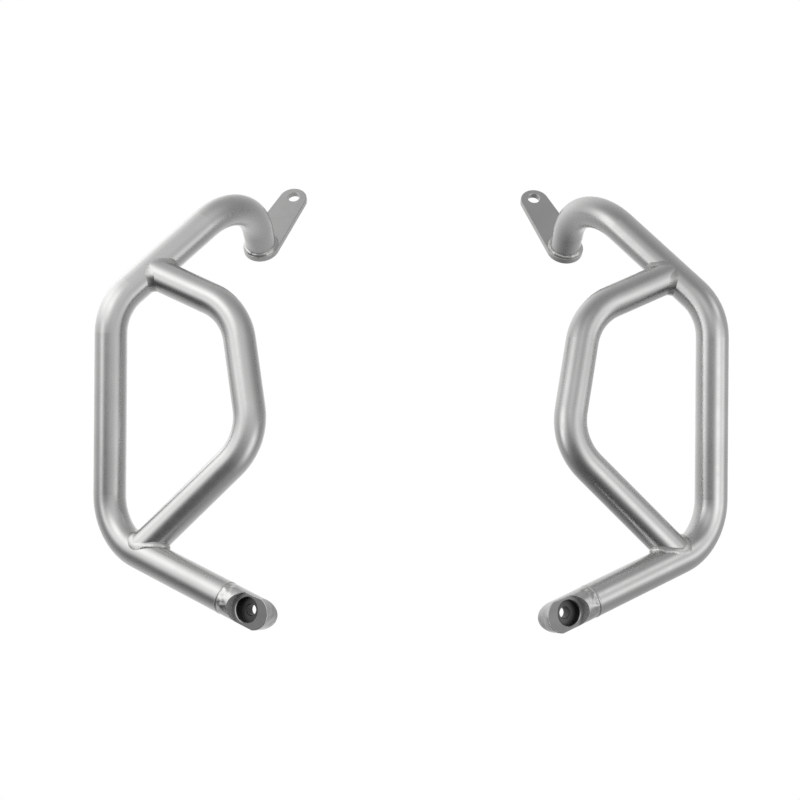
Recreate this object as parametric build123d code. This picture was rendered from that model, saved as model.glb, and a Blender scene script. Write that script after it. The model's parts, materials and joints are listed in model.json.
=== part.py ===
from build123d import *
import os
from math import cos, radians, sin

# Tube stock and bending
tube_od = 25.4
tube_wall = 2.0
bend_radius = 46.0

# Main tube of the bar on the +X side: the places of its corners and ends
half_span = 235.0
upper_corner_z = 72.0
lower_corner_z = -108.0
top_corner_x = 134.0
top_corner_y = 55.0
top_corner_z = 174.0
tab_seat_x = 128.0
tab_seat_y = 109.0
tab_seat_z = 131.0
bolt_eye_x = 117.0
bolt_eye_y = -82.3
bolt_eye_z = -154.6

# Brace tube: where its ends sit along the main tube, and its two corners
brace_head_from_corner = 44.0
brace_foot_from_corner = 34.0
brace_upper_corner_x = 136.0
brace_upper_corner_y = -13.0
brace_upper_corner_z = 69.5
brace_lower_corner_x = 119.1
brace_lower_corner_y = -35.0
brace_lower_corner_z = -31.0
cope_gap = 0.2

# Upper mounting tab
tab_thickness = 5.0
tab_rim = 2.6
tab_head_radius = 12.0
tab_head_pitch = 58.0
tab_hole_pitch = 60.0
tab_turn = 20.5
tab_edge_break = 0.6

# Bolt holes: M10 through the tab and M8 through the boss
tab_hole_d = 10.5
boss_hole_d = 8.5
hole_edge_break = 0.3

# Lower boss, a turned plug in the tube end with a cross bolt hole
boss_step = 0.2
boss_neck = 23.2
boss_bevel = 1.2
boss_tip_reach = 18.9
boss_flat_reach = 13.0
boss_flat_side = 0.3
boss_flat_height = 3.5
boss_back_height = 11.6
boss_edge_break = 0.6
spigot_length = 18.0
spigot_clearance = 0.1
counterbore_d = 19.0
counterbore_depth = 6.5
counterbore_edge_break = 0.6
bolt_lean = 5.3
bolt_turn = -6.2

# Weld beads: radius of each bead, and how far its middle is lifted off the metal or sunk in it
brace_bead = 2.7
brace_bead_lift = 1.2
brace_bead_points = 32
tab_bead = 1.7
tab_bead_lift = 0.2
seam_bead = 1.3
seam_bead_sink = 1.15

# Radii, corners and directions that follow from the sizes
tube_r = tube_od / 2
bore_r = tube_r - tube_wall
boss_r = tube_r - boss_step
upper_corner = Vector(half_span, 0, upper_corner_z)
lower_corner = Vector(half_span, 0, lower_corner_z)
top_corner = Vector(top_corner_x, top_corner_y, top_corner_z)
tab_seat = Vector(tab_seat_x, tab_seat_y, tab_seat_z)
bolt_eye = Vector(bolt_eye_x, bolt_eye_y, bolt_eye_z)
brace_upper_corner = Vector(brace_upper_corner_x, brace_upper_corner_y, brace_upper_corner_z)
brace_lower_corner = Vector(brace_lower_corner_x, brace_lower_corner_y, brace_lower_corner_z)
tab_normal = (top_corner - tab_seat).normalized()
boss_axis = (bolt_eye - lower_corner).normalized()
boss_seat = bolt_eye - boss_axis * boss_neck
brace_head = upper_corner + (top_corner - upper_corner).normalized() * brace_head_from_corner
brace_foot = lower_corner + boss_axis * brace_foot_from_corner
main_corners = [tab_seat, top_corner, upper_corner, lower_corner, boss_seat]
brace_corners = [brace_head, brace_upper_corner, brace_lower_corner, brace_foot]


def square_to(point, direction):
    """Plane through a point, square to a direction."""
    return Plane(origin=point, z_dir=direction)


def across(vector, normal):
    """The part of a vector that lies across a normal, as a unit vector."""
    return (vector - normal * vector.dot(normal)).normalized()


def bolt_direction():
    """Way the boss's bolt hole faces: nearly square to the boss, turned about it from the front."""
    front = across(Vector(0, -1, 0), boss_axis)
    facing = front.rotate(Axis((0, 0, 0), boss_axis), bolt_turn)
    return facing * cos(radians(bolt_lean)) + boss_axis * sin(radians(bolt_lean))


def centreline(corners):
    """Straight runs joined by bends of one radius."""
    return FilletPolyline(*corners, radius=bend_radius)


def rod_along(corners, radius):
    """Solid rod of one radius that follows a bent centreline."""
    start = square_to(corners[0], corners[1] - corners[0])
    return sweep(start * Circle(radius), path=centreline(corners))


main_rod = rod_along(main_corners, tube_r)
brace_rod = rod_along(brace_corners, tube_r)


def main_tube():
    """Bent round tube from the tab to the boss."""
    return main_rod - rod_along(main_corners, bore_r)


def brace_tube():
    """Same stock as the main tube, with both ends coped to fit round its outside."""
    shell = brace_rod - rod_along(brace_corners, bore_r)
    return shell - rod_along(main_corners, tube_r + cope_gap)


def mounting_tab():
    """Flat plate square to the last leg of the tube, round at both ends, with one bolt hole."""
    foot = Circle(tube_r + tab_rim)
    head = Pos(tab_head_pitch, 0) * Rot(0, 0, 180) * Circle(tab_head_radius)
    outline = make_hull((foot + head).edges())
    plate = extrude(outline, amount=-tab_thickness)
    plate = fillet(plate.edges(), tab_edge_break)
    plate -= Pos(tab_hole_pitch, 0, -tab_thickness / 2) * Cylinder(tab_hole_d / 2, tab_thickness)
    plate = chamfer(rims(plate, tab_hole_d / 2), hole_edge_break)
    upright = across(Vector(0, 0, 1), tab_normal)
    reach = upright.rotate(Axis((0, 0, 0), tab_normal), tab_turn)
    return Plane(origin=tab_seat, x_dir=reach, z_dir=tab_normal) * plate


def rims(solid, radius):
    """Round edges of one radius."""
    circles = solid.edges().filter_by(GeomType.CIRCLE)
    return circles.filter_by(lambda edge: abs(edge.radius - radius) < 1e-6)


def front_face(solid):
    """The flat face that lies furthest up Z."""
    return solid.faces().filter_by(Axis.Z).sort_by(Axis.Z)[-1]


def end_boss():
    """Turned plug with a round tip, flats front and back, and a counterbored cross hole.

    It is drawn about its bolt hole, with the hole along Z and the tip towards +X.
    """
    axis = Vector(1, 0, 0).rotate(Axis.Y, -bolt_lean)
    rod_plane = square_to(axis * -boss_neck, axis)
    rod_length = boss_neck + boss_tip_reach + boss_r
    rod = extrude(Circle(boss_r), amount=rod_length)
    eye = rod_plane * chamfer(rod.edges().sort_by(Axis.Z)[0], boss_bevel)

    beyond = 2 * rod_length
    width = 2 * (boss_r + boss_flat_side)
    pitch = boss_tip_reach + boss_flat_reach - width
    flat = Pos((boss_tip_reach - boss_flat_reach) / 2, 0) * SlotCenterToCenter(pitch, width)
    shank = Pos(-beyond / 2, 0) * Rectangle(beyond, width)
    eye &= extrude(flat + shank, amount=beyond, both=True)

    cutter = extrude(flat, amount=beyond)
    eye -= Pos(0, 0, boss_flat_height) * cutter
    eye -= Pos(0, 0, -boss_back_height - beyond) * cutter
    outer_edges = front_face(eye).edges().sort_by(Axis.X)[1:]
    eye = fillet(outer_edges, boss_edge_break)

    floor = boss_flat_height - counterbore_depth
    eye -= Pos(0, 0, floor) * extrude(Circle(counterbore_d / 2), amount=beyond)
    mouth = front_face(eye).inner_wires()[0].edges()
    eye = chamfer(mouth, counterbore_edge_break)
    eye -= extrude(Circle(boss_hole_d / 2), amount=beyond, both=True)
    eye = chamfer(rims(eye, boss_hole_d / 2), hole_edge_break)
    eye += rod_plane * extrude(Circle(bore_r - spigot_clearance), amount=-spigot_length)
    bolt_axis = bolt_direction()
    return Plane(origin=bolt_eye, x_dir=across(boss_axis, bolt_axis), z_dir=bolt_axis) * eye


def weld_loop(end, corner):
    """Closed line on the brace round one end of it, at a set distance from the main tube."""
    main_line = centreline(main_corners)
    plane = square_to(end, corner - end)
    points = []
    for i in range(brace_bead_points):
        turn = 360 * i / brace_bead_points
        start = Vector(tube_r, 0, 0).rotate(Axis.Z, turn)
        inside = 0.0
        outside = (corner - end).length
        while outside - inside > 1e-4:
            middle = (inside + outside) / 2
            point = plane.from_local_coords(start + Vector(0, 0, middle))
            if main_line.distance_to(point) < tube_r + brace_bead_lift:
                inside = middle
            else:
                outside = middle
        points.append(plane.from_local_coords(start + Vector(0, 0, outside)))
    return Spline(*points, periodic=True)


def brace_weld(end, corner):
    """Bead in the corner between the two tubes, laid in two halves that meet."""
    loop = weld_loop(end, corner)
    halves = []
    for half in (loop.trim(0, 0.5), loop.trim(0.5, 1)):
        section = square_to(half @ 0, half % 0) * Circle(brace_bead)
        halves.append(sweep(section, path=half) - main_rod - brace_rod)
    return halves[0] + halves[1]


def tab_weld(tab):
    """Bead round the tube end on the face of the tab."""
    seat = square_to(tab_seat, tab_normal)
    bead = seat * Pos(0, 0, tab_bead_lift) * Torus(tube_r + tab_bead_lift, tab_bead)
    return bead - main_rod - tab


def boss_weld(boss):
    """Low bead in the bevelled seam between the tube end and the boss."""
    bead = square_to(boss_seat, boss_axis) * Torus(tube_r - seam_bead_sink, seam_bead)
    return bead - main_rod - boss


bar = {
    "main_tube": main_tube(),
    "brace_tube": brace_tube(),
    "mounting_tab": mounting_tab(),
    "end_boss": end_boss(),
    "brace_upper_weld": brace_weld(brace_head, brace_upper_corner),
    "brace_lower_weld": brace_weld(brace_foot, brace_lower_corner),
}
bar["tab_weld"] = tab_weld(bar["mounting_tab"])
bar["boss_weld"] = boss_weld(bar["end_boss"])

# The origin is the middle of the box round both bars
middle = Compound(list(bar.values())).bounding_box().center()
to_middle = Pos(0, -middle.Y, -middle.Z)

os.makedirs("parts", exist_ok=True)
for name, piece in bar.items():
    right_piece = to_middle * piece
    export_step(right_piece, f"parts/right_{name}.step")
    export_step(mirror(right_piece, about=Plane.YZ), f"parts/left_{name}.step")
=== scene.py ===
import json
import random
from collections import namedtuple
from math import cos, radians, sin, tau

import bmesh
import bpy
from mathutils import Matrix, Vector
from mathutils.bvhtree import BVHTree

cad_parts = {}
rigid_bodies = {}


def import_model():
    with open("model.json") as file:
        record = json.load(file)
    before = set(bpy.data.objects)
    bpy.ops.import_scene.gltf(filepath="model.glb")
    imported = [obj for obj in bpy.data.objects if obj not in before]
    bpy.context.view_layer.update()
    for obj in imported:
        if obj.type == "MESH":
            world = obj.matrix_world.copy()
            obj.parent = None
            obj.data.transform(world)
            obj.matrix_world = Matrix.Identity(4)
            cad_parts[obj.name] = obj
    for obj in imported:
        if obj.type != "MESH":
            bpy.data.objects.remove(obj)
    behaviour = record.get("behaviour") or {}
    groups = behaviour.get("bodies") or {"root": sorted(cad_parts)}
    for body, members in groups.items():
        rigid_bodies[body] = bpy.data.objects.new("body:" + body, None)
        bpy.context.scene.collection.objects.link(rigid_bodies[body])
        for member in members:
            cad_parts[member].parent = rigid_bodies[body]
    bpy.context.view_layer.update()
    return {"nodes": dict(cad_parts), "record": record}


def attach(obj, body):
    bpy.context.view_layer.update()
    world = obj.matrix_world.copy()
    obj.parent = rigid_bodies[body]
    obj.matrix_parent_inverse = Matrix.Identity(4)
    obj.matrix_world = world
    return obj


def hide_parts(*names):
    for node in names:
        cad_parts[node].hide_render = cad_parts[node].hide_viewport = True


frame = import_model()
nodes = frame["nodes"]
record = frame["record"]
mounts = {mount["name"]: mount for mount in record["mounts"]}

# Names of the two bars, which start the names of their pieces
SIDES = ("left", "right")

# Camera fitted to the photo, in metres like every length here, with its turn in degrees
CAMERA_PLACE = Vector((0.01454, -1.43864, -0.0058))
CAMERA_TURN = (90.0, -0.44, 0.92)
CAMERA_LENS_MM = 81.18
CAMERA_SENSOR_MM = 36.0

# Places on the bar at +X: the end of each welded tube, and a point further along its axis
BRACE_HEAD = (Vector((0.20609, -0.01294, 0.09455)), Vector((0.13600, -0.04169, 0.06285)))
BRACE_FOOT = (Vector((0.20847, -0.04719, -0.12512)), Vector((0.11910, -0.06369, -0.03765)))
TAB_SEAT = (Vector((0.12800, 0.08032, 0.12435)), Vector((0.13146, 0.04914, 0.14918)))
TUBE_RADIUS = 0.0127

# Boss of the bar at +X: the bolt eye, where its bolt hole meets the tube's axis, and the signs of its place
BOLT_AXIS = Vector(mounts["right_boss_bore"]["axis"])
BORE_BEHIND_EYE = 0.0073
BOLT_EYE = Vector(mounts["right_boss_bore"]["pos_m"]) + BOLT_AXIS * BORE_BEHIND_EYE
BOSS_SIGNS = Vector((1, -1, -1))

# Faces of the boss, by their height along the bolt hole, their reach from it and their slope to it
FLAT_HEIGHT = 0.0035
BACK_HEIGHT = -0.0116
COUNTERBORE_RADIUS = 0.0095
CORNER_REACH = 0.0133
FACE_TOLERANCE = 0.00005
LEAST_FLAT_SLOPE = 0.99
MOST_CORNER_SLOPE = 0.5

# Noise textures of the steel: patches in a metre, and detail
CLOUDS = (28, 4)
MOTTLE = (160, 3)
BLAST = (1500, 2)
GRIND = (210, 0)
NOISE_RANGE = (0.3, 0.7)
GRAIN_DEPTH = 1.5e-6

# Ground patches beside the boss seam, by distance from the bolt eye, and cutter rings in the bore
GRIND_START = 0.0165
GRIND_FULL = 0.0215
GRIND_DEPTH = 0.0006
RING_PITCH = 0.0016
RING_DEPTH = 0.00008

# Weld beads
BRACE_BEAD_WIDTH = 0.0031
HEAD_BEAD_CROWN = -0.0002
FOOT_BEAD_CROWN = 0.0006
TAB_BEAD_WIDTH = 0.0020
TAB_BEAD_CROWN = 0.0005
BEAD_STEPS = 480
BEAD_SECTION = 9
BEAD_SEARCH = 0.035
BEAD_CLOSE = 1e-6
BEAD_LIFT = 0.0004
BEAD_ROOT = 0.0006
BEAD_SINK = 0.0003
BEAD_PITCH = 0.0019
BEAD_RIPPLE = 0.00002
BEAD_CRESCENT = 0.55
BEAD_UNEVEN = 0.12
BEAD_WAVES = (2, 3, 5, 7, 11)
BEAD_SHARP_DEGREES = 50

# Floor and world
FLOOR_Z = -0.55
FLOOR_SIZE = 8.0
FLOOR_GREY = (0.86, 0.86, 0.86, 1)
FLOOR_ROUGHNESS = 0.9
FLOOR_FADE = (0.35, 1.0)
WORLD_GREY = (0.6, 0.6, 0.6)
WHITE = (1, 1, 1)

# Softboxes: place, width and height, and power in watts
SOFTBOXES = {
    "left_softbox": ((-1.28, -0.90, 0.42), (1.7, 1.5), 10.0),
    "right_softbox": ((1.40, -0.76, 0.58), (1.0, 1.2), 4.6),
}

# Light tents, one for each bar: a plain gradient, one dark patch, and soft lamps behind the cloth
TENT_RADIUS = {"left": 3.0, "right": 3.1}
INNER_TENT = "left"
TENT_SEGMENTS = 48
TENT_RINGS = 24
TENT_OPENING_DEGREES = 28
TENT_LEAST = 0.08
TENT_LEVEL = {"left": 0.48, "right": 0.51}
TENT_SLOPE = {"left": Vector((-0.22, 0.38, -0.10)), "right": Vector((0.06, 0.19, -0.10))}
# Azimuth, elevation and width in degrees, and strength
TENT_PATCHES = {
    "left": {
        "dark_low": (-60, -24, 40, -0.65),
        "left_back": (-135, 30, 15, 0.85),
        "left_key": (-82, 35, 19, 1.25),
        "left_front": (-34, 31, 14, 1.25),
        "left_strip": (-57, 2, 10, 1.15),
        "front_fill": (15, 21, 33, 0.85),
        "right_low": (56, -21, 15, 1.20),
    },
    "right": {
        "dark_low": (5, -80, 50, -0.45),
        "left_back": (-140, 32, 32, 0.50),
        "left_key": (-58, 15, 16, 1.35),
        "left_strip": (-72, -10, 9, 1.10),
        "front_fill": (-5, 24, 14, 0.65),
        "right_key": (40, -3, 15, 1.40),
        "right_strip": (64, 32, 9, 0.95),
        "right_low": (77, -3, 9, 0.95),
    },
}

# Sockets of the colour mix node, which are told apart by number only
MIX_SHARE = 0
MIX_ONE = 6
MIX_OTHER = 7
MIX_RESULT = 2


class Graph:
    """Node tree of a material or a world, with short ways to add to it."""

    def __init__(self, owner):
        owner.use_nodes = True
        self.nodes = owner.node_tree.nodes
        self.links = owner.node_tree.links

    def feed(self, node, inputs):
        """Link each input to another node's output, or set it to a constant."""
        for key, value in inputs.items():
            if isinstance(value, bpy.types.NodeSocket):
                self.links.new(value, node.inputs[key])
            else:
                node.inputs[key].default_value = value

    def add(self, kind, inputs, **settings):
        """New node with its settings and its inputs."""
        node = self.nodes.new(f"ShaderNode{kind}")
        for name, value in settings.items():
            setattr(node, name, value)
        self.feed(node, inputs)
        return node

    def object_coords(self):
        """Place on the object, in metres."""
        return self.add("TexCoord", {}).outputs["Object"]

    def maths(self, operation, *values):
        """One step of arithmetic."""
        return self.add("Math", dict(enumerate(values)), operation=operation).outputs[0]

    def vector(self, operation, *values):
        """One step of vector arithmetic that gives a vector."""
        return self.add("VectorMath", dict(enumerate(values)), operation=operation).outputs["Vector"]

    def number(self, operation, *values):
        """One step of vector arithmetic that gives a number."""
        return self.add("VectorMath", dict(enumerate(values)), operation=operation).outputs["Value"]

    def between(self, value, start, stop, low=0, high=1):
        """Map a value from one range of numbers onto another."""
        inputs = {"Value": value, "From Min": start, "From Max": stop, "To Min": low, "To Max": high}
        return self.add("MapRange", inputs).outputs["Result"]

    def noise(self, coords, patches, detail):
        """Noise with a number of patches in a metre."""
        inputs = {"Vector": coords, "Scale": patches, "Detail": detail}
        return self.add("TexNoise", inputs).outputs["Fac"]

    def mix_colours(self, share, one, other):
        """Colour between two others, by a share from 0 to 1."""
        inputs = {MIX_SHARE: share, MIX_ONE: (*one, 1), MIX_OTHER: (*other, 1)}
        return self.add("Mix", inputs, data_type="RGBA").outputs[MIX_RESULT]

    def bump(self, height, depth, before=None):
        """Bump with its depth in metres, on top of an earlier bump."""
        inputs = {"Strength": 1.0, "Distance": depth, "Height": height}
        if before is not None:
            inputs["Normal"] = before
        return self.add("Bump", inputs).outputs["Normal"]

    def shown_white(self):
        """1 for camera, glossy and transmission rays, and 0 for the rest."""
        path = self.add("LightPath", {})
        shown = path.outputs["Is Camera Ray"]
        for name in ("Is Glossy Ray", "Is Transmission Ray"):
            shown = self.maths("MAXIMUM", shown, path.outputs[name])
        return shown


# Materials


def satin_steel(name, dark, light, rough_low, rough_high):
    """Bead-blasted stainless steel: fine grain, soft clouds of tone and gloss."""
    material = bpy.data.materials.new(name)
    graph = Graph(material)
    coords = graph.object_coords()
    clouds = graph.noise(coords, *CLOUDS)
    mottle = graph.noise(coords, *MOTTLE)
    blast = graph.noise(coords, *BLAST)
    inputs = {
        "Metallic": 1.0,
        "Base Color": graph.mix_colours(graph.between(clouds, *NOISE_RANGE), dark, light),
        "Roughness": graph.between(mottle, *NOISE_RANGE, rough_low, rough_high),
        "Normal": graph.bump(mottle, GRAIN_DEPTH, graph.bump(blast, GRAIN_DEPTH)),
    }
    graph.feed(graph.nodes["Principled BSDF"], inputs)
    return material


def add_bump(material, make_height, depth):
    """One more bump on top of a material's own."""
    graph = Graph(material)
    shader = graph.nodes["Principled BSDF"]
    before = shader.inputs["Normal"].links[0].from_socket
    height = make_height(graph, graph.object_coords())
    graph.feed(shader, {"Normal": graph.bump(height, depth, before)})


def from_bolt_eye(graph, coords):
    """Way from the bolt eye to a point of either boss, as on the bar at +X."""
    place = graph.vector("MULTIPLY", graph.vector("ABSOLUTE", coords), BOSS_SIGNS)
    return graph.vector("SUBTRACT", place, BOLT_EYE)


def ground_patches(graph, coords):
    """Uneven ground patches on the neck, which fade out towards the bolt hole."""
    away = graph.number("LENGTH", from_bolt_eye(graph, coords))
    fade = graph.between(away, GRIND_START, GRIND_FULL)
    patches = graph.between(graph.noise(coords, *GRIND), *NOISE_RANGE)
    return graph.maths("MULTIPLY", fade, patches)


def cutter_rings(graph, coords):
    """Ring marks of the cutter down the bore."""
    depth = graph.number("DOT_PRODUCT", from_bolt_eye(graph, coords), BOLT_AXIS)
    return graph.maths("SINE", graph.maths("MULTIPLY", depth, tau / RING_PITCH))


tube_steel = satin_steel("tube_steel", (0.58, 0.58, 0.575), (0.63, 0.63, 0.625), 0.25, 0.30)
plate_steel = satin_steel("plate_steel", (0.52, 0.52, 0.515), (0.58, 0.58, 0.575), 0.30, 0.38)
boss_steel = satin_steel("boss_steel", (0.56, 0.56, 0.555), (0.62, 0.62, 0.615), 0.24, 0.30)
weld_steel = satin_steel("weld_steel", (0.52, 0.52, 0.515), (0.63, 0.63, 0.62), 0.22, 0.32)
# Painted shade: the milled flat's steel is dull and painted dark for the shade on it
machined_steel = satin_steel("machined_steel", (0.27, 0.27, 0.27), (0.31, 0.31, 0.31), 0.46, 0.54)
# Painted shade: the bore's steel is painted nearly black for the shade inside the hole
bore_steel = satin_steel("bore_steel", (0.10, 0.10, 0.10), (0.13, 0.13, 0.13), 0.38, 0.46)
corner_steel = satin_steel("corner_steel", (0.60, 0.60, 0.595), (0.66, 0.66, 0.655), 0.66, 0.74)

add_bump(boss_steel, ground_patches, GRIND_DEPTH)
add_bump(bore_steel, cutter_rings, RING_DEPTH)

finish_of = {"tube": tube_steel, "plate": plate_steel, "boss": boss_steel, "weld": weld_steel}
for entry in record["subparts"]:
    node = nodes[entry["node"]]
    node.data.materials.clear()
    node.data.materials.append(finish_of[entry["material_slot"]])


def on_side(point, side):
    """A place on the bar at +X, or its mirror image on the other bar."""
    return Vector((point.x if side == "right" else -point.x, point.y, point.z))


def add_finish(mesh, finish):
    """Add a material to a mesh, and give the number of its slot."""
    mesh.materials.append(finish)
    return len(mesh.materials) - 1


def finish_boss(side):
    """The milled flat is dull and painted dark as shade, the bore painted nearly black as shade, and the
    corner behind the flat rough.
    """
    eye = on_side(BOLT_EYE, side)
    axis = on_side(BOLT_AXIS, side)
    mesh = nodes[f"{side}_end_boss"].data
    flat_shade_slot = add_finish(mesh, machined_steel)
    bore = add_finish(mesh, bore_steel)
    corner = add_finish(mesh, corner_steel)
    for face in mesh.polygons:
        arm = face.center - eye
        height = arm.dot(axis)
        reach = (arm - axis * height).length
        slope = face.normal.dot(axis)
        above_back = height > BACK_HEIGHT + FACE_TOLERANCE
        # The milled flat gets the dull steel that is painted dark as shade
        if slope > LEAST_FLAT_SLOPE and abs(height - FLAT_HEIGHT) < FACE_TOLERANCE:
            face.material_index = flat_shade_slot
        # Inside the bore, the steel painted nearly black as shade
        elif above_back and reach < COUNTERBORE_RADIUS + FACE_TOLERANCE:
            face.material_index = bore
        elif height > FLAT_HEIGHT and reach < CORNER_REACH and abs(slope) < MOST_CORNER_SLOPE:
            face.material_index = corner


# Weld beads

# Place round a tube end: turn, way out of the tube, corner on it, and touch and normal on the other piece
Station = namedtuple("Station", "turn out corner touch normal")


def surface_of(node):
    """Search tree over the surface of a CAD node."""
    points = [vertex.co for vertex in node.data.vertices]
    return BVHTree.FromPolygons(points, [face.vertices for face in node.data.polygons])


def wander(dice, strength):
    """An uneven wave round a full turn, about 1."""
    waves = [(turns, dice.uniform(0, tau)) for turns in BEAD_WAVES]
    return lambda turn: 1 + strength * sum(sin(turns * turn + start) for turns, start in waves) / 2


def bead_stations(end, axis, surface):
    """Stations round a tube end, each as near to the other piece's surface as the bead's lift."""
    across = axis.orthogonal().normalized()
    upright = axis.cross(across)
    stations = []
    for step in range(BEAD_STEPS):
        turn = tau * step / BEAD_STEPS
        out = across * cos(turn) + upright * sin(turn)
        height = BEAD_SEARCH
        room = BEAD_SEARCH
        while room > BEAD_CLOSE and height > -TUBE_RADIUS:
            corner = end + out * TUBE_RADIUS + axis * height
            touch, normal, _, gap = surface.find_nearest(corner)
            room = gap - BEAD_LIFT
            height -= room
        stations.append(Station(turn, out, corner, touch, normal))
    return stations


def bead_rings(stations, axis, surface, width, crown, dice):
    """Section of a rippled bead at each station: its root, its face from toe to toe, and its sunk edges."""
    corners = [station.corner for station in stations]
    steps = [(there - here).length for here, there in zip(corners, corners[1:] + corners[:1])]
    ripples = round(sum(steps) / BEAD_PITCH)
    width_at, crown_at, pace_at = (wander(dice, BEAD_UNEVEN) for _ in range(3))
    paces = [step * pace_at(station.turn) for step, station in zip(steps, stations)]
    whole = sum(paces)
    walked = 0.0
    rings = []
    for (turn, out, corner, touch, normal), pace in zip(stations, paces):
        reach = width * width_at(turn)
        along = (out - normal * out.dot(normal)).normalized()
        upper_toe = corner + axis * reach
        lower_toe, toe_normal, _, _ = surface.find_nearest(touch + along * reach)
        rise = (out + normal).normalized()
        ring = [corner - rise * BEAD_ROOT, upper_toe - out * BEAD_SINK]
        for step in range(BEAD_SECTION):
            share = step / (BEAD_SECTION - 1)
            bulge = 4 * share * (1 - share)
            phase = tau * (ripples * walked / whole + BEAD_CRESCENT * bulge)
            height = bulge * (crown * crown_at(turn) + BEAD_RIPPLE * cos(phase))
            ring.append(upper_toe.lerp(lower_toe, share) + rise * height)
        ring.append(lower_toe - toe_normal * BEAD_SINK)
        rings.append(ring)
        walked += pace
    return rings


def weld_bead(name, tube_end, other, width, crown):
    """Bead round the end of a tube, in the corner between it and the other node."""
    side = name.split("_")[0]
    end, further = (on_side(point, side) for point in tube_end)
    axis = (further - end).normalized()
    surface = surface_of(nodes[f"{side}_{other}"])
    stations = bead_stations(end, axis, surface)
    rings = bead_rings(stations, axis, surface, width, crown, random.Random(name))
    bead = closed_band(f"{name}_bead", rings)
    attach(bead, "root")
    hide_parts(name)


def add_object(name, data):
    """New object in the scene."""
    thing = bpy.data.objects.new(name, data)
    bpy.context.scene.collection.objects.link(thing)
    return thing


def closed_band(name, rings):
    """Smooth closed band through rings of points."""
    shape = bmesh.new()
    loops = [[shape.verts.new(point) for point in ring] for ring in rings]
    for one, two in zip(loops, loops[1:] + loops[:1]):
        for corner in range(len(one)):
            shape.faces.new((one[corner - 1], one[corner], two[corner], two[corner - 1]))
    bmesh.ops.recalc_face_normals(shape, faces=shape.faces)
    mesh = bpy.data.meshes.new(name)
    shape.to_mesh(mesh)
    shape.free()
    mesh.polygons.foreach_set("use_smooth", [True] * len(mesh.polygons))
    mesh.set_sharp_from_angle(angle=radians(BEAD_SHARP_DEGREES))
    mesh.materials.append(weld_steel)
    return add_object(name, mesh)


for side in SIDES:
    finish_boss(side)
    weld_bead(f"{side}_brace_upper_weld", BRACE_HEAD, "main_tube", BRACE_BEAD_WIDTH, HEAD_BEAD_CROWN)
    weld_bead(f"{side}_brace_lower_weld", BRACE_FOOT, "main_tube", BRACE_BEAD_WIDTH, FOOT_BEAD_CROWN)
    weld_bead(f"{side}_tab_weld", TAB_SEAT, "mounting_tab", TAB_BEAD_WIDTH, TAB_BEAD_CROWN)


# Studio


def make_world():
    """White where it is seen, and a plain grey for the light that it gives."""
    world = bpy.data.worlds.new("studio_world")
    graph = Graph(world)
    colour = graph.mix_colours(graph.shown_white(), WORLD_GREY, WHITE)
    graph.feed(graph.nodes["Background"], {"Color": colour})
    bpy.context.scene.world = world


def make_floor():
    """Pale floor well below the bars, which fades to white away from them."""
    bpy.ops.mesh.primitive_plane_add(size=FLOOR_SIZE, location=(0, 0, FLOOR_Z))
    floor = bpy.context.object
    floor.name = "floor"
    material = bpy.data.materials.new("pale_floor")
    graph = Graph(material)
    shader = graph.nodes["Principled BSDF"]
    graph.feed(shader, {"Base Color": FLOOR_GREY, "Roughness": FLOOR_ROUGHNESS})
    white = graph.add("Emission", {"Strength": 1.0})
    away = graph.between(graph.number("LENGTH", graph.object_coords()), *FLOOR_FADE)
    share = graph.maths("MULTIPLY", away, graph.shown_white())
    mix = graph.add("MixShader", {0: share, 1: shader.outputs[0], 2: white.outputs[0]})
    graph.feed(graph.nodes["Material Output"], {"Surface": mix.outputs[0]})
    floor.data.materials.append(material)
    floor.visible_glossy = False


def tent_direction(azimuth, elevation):
    """Unit vector from angles in degrees: azimuth from the front towards +X, elevation from level."""
    turn = radians(azimuth)
    rise = radians(elevation)
    return Vector((sin(turn) * cos(rise), -cos(turn) * cos(rise), sin(rise)))


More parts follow.
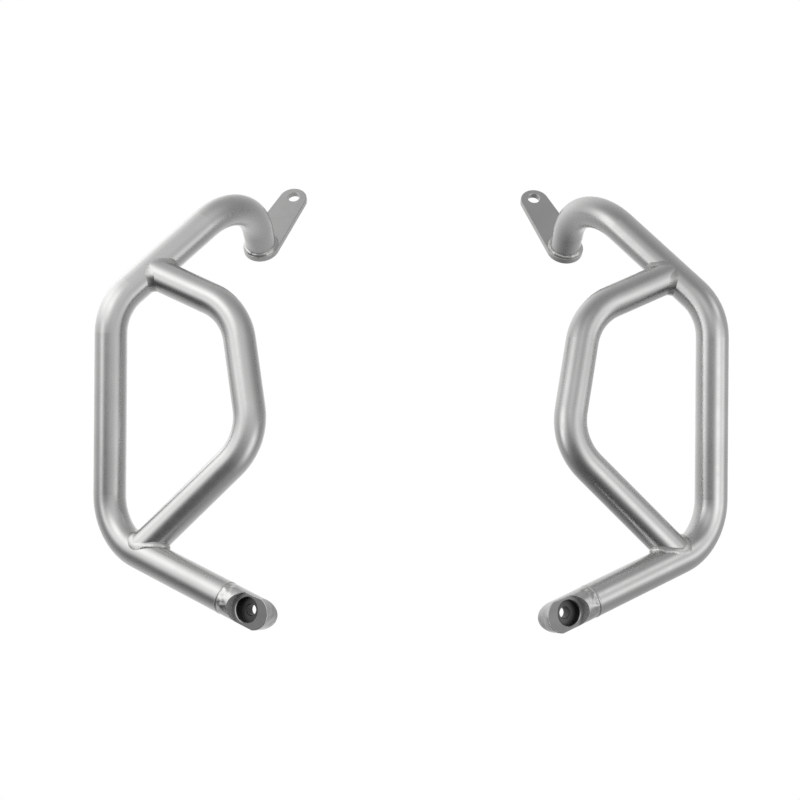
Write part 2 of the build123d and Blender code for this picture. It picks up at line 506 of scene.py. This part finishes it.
def tent_cloth(side):
    """Glowing cloth. That of the inner tent lets the light of the outer one through."""
    material = bpy.data.materials.new(f"{side}_tent_cloth")
    graph = Graph(material)
    graph.nodes.remove(graph.nodes["Principled BSDF"])
    way = graph.vector("NORMALIZE", graph.object_coords())
    level = graph.maths("ADD", graph.number("DOT_PRODUCT", way, TENT_SLOPE[side]), TENT_LEVEL[side])
    for azimuth, elevation, width, strength in TENT_PATCHES[side].values():
        nearness = graph.number("DOT_PRODUCT", way, tent_direction(azimuth, elevation))
        falloff = graph.maths("MULTIPLY", graph.maths("SUBTRACT", nearness, 1.0), 1 / radians(width) ** 2)
        level = graph.maths("MULTIPLY_ADD", graph.maths("EXPONENT", falloff), strength, level)
    surface = graph.add("Emission", {"Strength": graph.maths("MAXIMUM", level, TENT_LEAST)})
    if side == INNER_TENT:
        clear = graph.add("BsdfTransparent", {})
        surface = graph.add("AddShader", {0: surface.outputs[0], 1: clear.outputs[0]})
    graph.feed(graph.nodes["Material Output"], {"Surface": surface.outputs[0]})
    material.cycles.emission_sampling = "NONE"
    return material


def tent_shell(side):
    """Sphere round the bars, open behind them."""
    shape = bmesh.new()
    bmesh.ops.create_uvsphere(
        shape, u_segments=TENT_SEGMENTS, v_segments=TENT_RINGS, radius=TENT_RADIUS[side]
    )
    limit = cos(radians(TENT_OPENING_DEGREES))
    opening = [face for face in shape.faces if face.calc_center_median().normalized().y > limit]
    bmesh.ops.delete(shape, geom=opening, context="FACES")
    mesh = bpy.data.meshes.new(f"{side}_tent")
    shape.to_mesh(mesh)
    shape.free()
    return mesh


def make_tent(side):
    """Light tent that only the gloss of one bar sees, open to white behind it."""
    bar = bpy.data.collections.new(f"{side}_bar")
    for piece in bpy.context.scene.objects:
        if piece.type == "MESH" and piece.name.startswith(side):
            bar.objects.link(piece)
    tent = add_object(f"{side}_tent", tent_shell(side))
    tent.data.materials.append(tent_cloth(side))
    tent.visible_camera = False
    tent.visible_diffuse = False
    tent.visible_shadow = False
    tent.visible_transmission = False
    tent.light_linking.receiver_collection = bar


def softbox(name, place, size, power):
    """Rectangular lamp that faces the bars."""
    data = bpy.data.lights.new(name, "AREA")
    data.shape = "RECTANGLE"
    data.size, data.size_y = size
    data.energy = power
    lamp = add_object(name, data)
    lamp.location = place
    lamp.rotation_euler = (-Vector(place)).to_track_quat("-Z", "Y").to_euler()
    lamp.visible_camera = False
    lamp.visible_glossy = False


def make_camera():
    """Camera of the photo."""
    data = bpy.data.cameras.new("camera")
    data.sensor_width = CAMERA_SENSOR_MM
    data.lens = CAMERA_LENS_MM
    camera = add_object("camera", data)
    camera.location = CAMERA_PLACE
    camera.rotation_euler = [radians(angle) for angle in CAMERA_TURN]
    bpy.context.scene.camera = camera


make_world()
make_floor()
for side in SIDES:
    make_tent(side)
for name, (place, size, power) in SOFTBOXES.items():
    softbox(name, place, size, power)
make_camera()
bpy.context.scene.view_settings.view_transform = "Standard"
